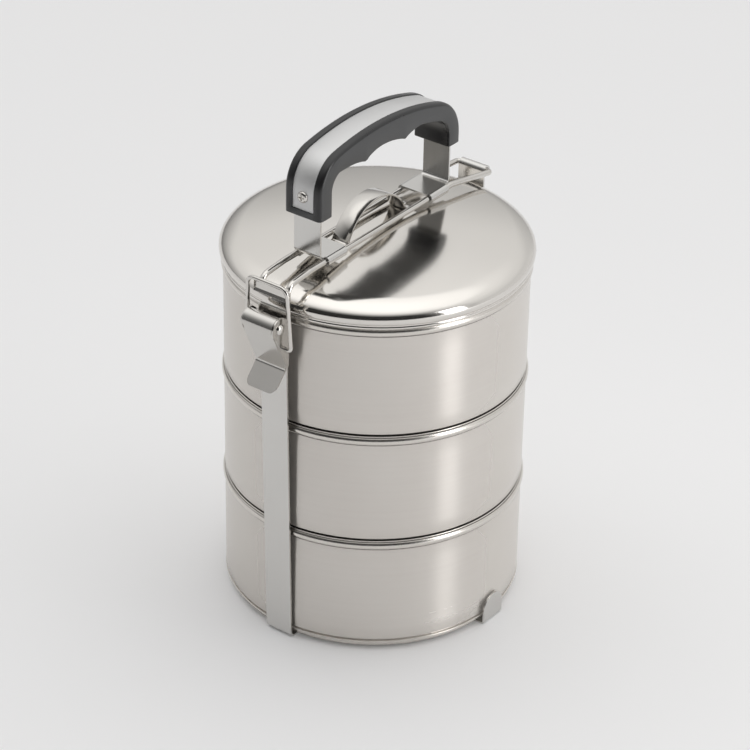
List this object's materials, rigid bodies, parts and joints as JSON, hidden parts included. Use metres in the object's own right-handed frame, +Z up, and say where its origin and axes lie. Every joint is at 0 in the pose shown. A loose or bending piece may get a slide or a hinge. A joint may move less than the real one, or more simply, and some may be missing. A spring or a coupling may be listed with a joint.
{
  "type": "tiffin carrier",
  "caption": "Stacked round steel food containers under a domed lid, held in a strap frame by a swinging handle bridge and a front lever latch.",
  "frame": {"origin": "on the floor, at the middle of the long base strap's underside, on the containers' axis", "axes": "+Z up through the stack, the latch at the front towards -Y, the bridge hinge at the back towards +Y, X across the handle"},
  "size_m": [0.1438, 0.1646, 0.2436],
  "materials": {
    "container_steel": "satin stainless steel, turned grain round the wall",
    "lid_steel": "mirror-polished stainless steel",
    "strap_steel": "bright cold-rolled stainless strip",
    "polished_steel": "polished stainless wire and fasteners",
    "trim_steel": "satin stainless trim strip",
    "grip_plastic": "moulded charcoal plastic, satin"
  },
  "bodies": {
    "frame": {"carrier_strap": "strap_steel", "cross_strap": "strap_steel", "base_rivet": "polished_steel", "latch_bracket": "strap_steel", "lever_rivet": "polished_steel"},
    "lever": {"latch_lever": "strap_steel"},
    "bail": {"latch_bail": "polished_steel"},
    "bridge": {"bridge_rod_left": "polished_steel", "bridge_rod_right": "polished_steel", "hook_plate": "strap_steel", "handle_stay_front": "strap_steel", "handle_stay_rear": "strap_steel", "grip": "grip_plastic", "grip_strip": "trim_steel", "grip_screw_front": "polished_steel", "grip_screw_rear": "polished_steel", "grip_nut_front": "polished_steel", "grip_nut_rear": "polished_steel"},
    "bottom_tier": {"container_bottom": "container_steel"},
    "middle_tier": {"container_middle": "container_steel"},
    "top_tier": {"container_top": "container_steel"},
    "cover": {"lid": "lid_steel", "lid_arch": "strap_steel", "lid_arch_rivets": "polished_steel"}
  },
  "joints": [
    {"name": "latch_lever_turn", "type": "hinge", "parent": "frame", "child": "lever", "pos_m": [0, -0.0816, 0.1712], "axis": [-1, 0, 0], "range_deg": [0, 95]},
    {"name": "latch_bail_turn", "type": "hinge", "parent": "lever", "child": "bail", "pos_m": [0, -0.0782, 0.1598], "axis": [-1, 0, 0], "range_deg": [-143, 0]},
    {"name": "bridge_swing", "type": "hinge", "parent": "frame", "child": "bridge", "pos_m": [0, 0.07495, 0.1858], "axis": [-1, 0, 0], "range_deg": [0, 180]},
    {"name": "bottom_lift", "type": "slide", "parent": "frame", "child": "bottom_tier", "axis": [0, 0, 1], "range_m": [0, 0.008]},
    {"name": "middle_lift", "type": "slide", "parent": "bottom_tier", "child": "middle_tier", "axis": [0, 0, 1], "range_m": [0, 0.008]},
    {"name": "top_lift", "type": "slide", "parent": "middle_tier", "child": "top_tier", "axis": [0, 0, 1], "range_m": [0, 0.008]},
    {"name": "lid_lift", "type": "slide", "parent": "top_tier", "child": "cover", "axis": [0, 0, 1], "range_m": [0, 0.008]}
  ],
  "couplings": [
    {"joint": "latch_bail_turn", "follows": "latch_lever_turn", "ratio": -1.5},
    {"joint": "bottom_lift", "follows": "bridge_swing", "m_per_rad": 0.00254},
    {"joint": "middle_lift", "follows": "bridge_swing", "m_per_rad": 0.00254},
    {"joint": "top_lift", "follows": "bridge_swing", "m_per_rad": 0.00254},
    {"joint": "lid_lift", "follows": "bridge_swing", "m_per_rad": 0.00254}
  ]
}
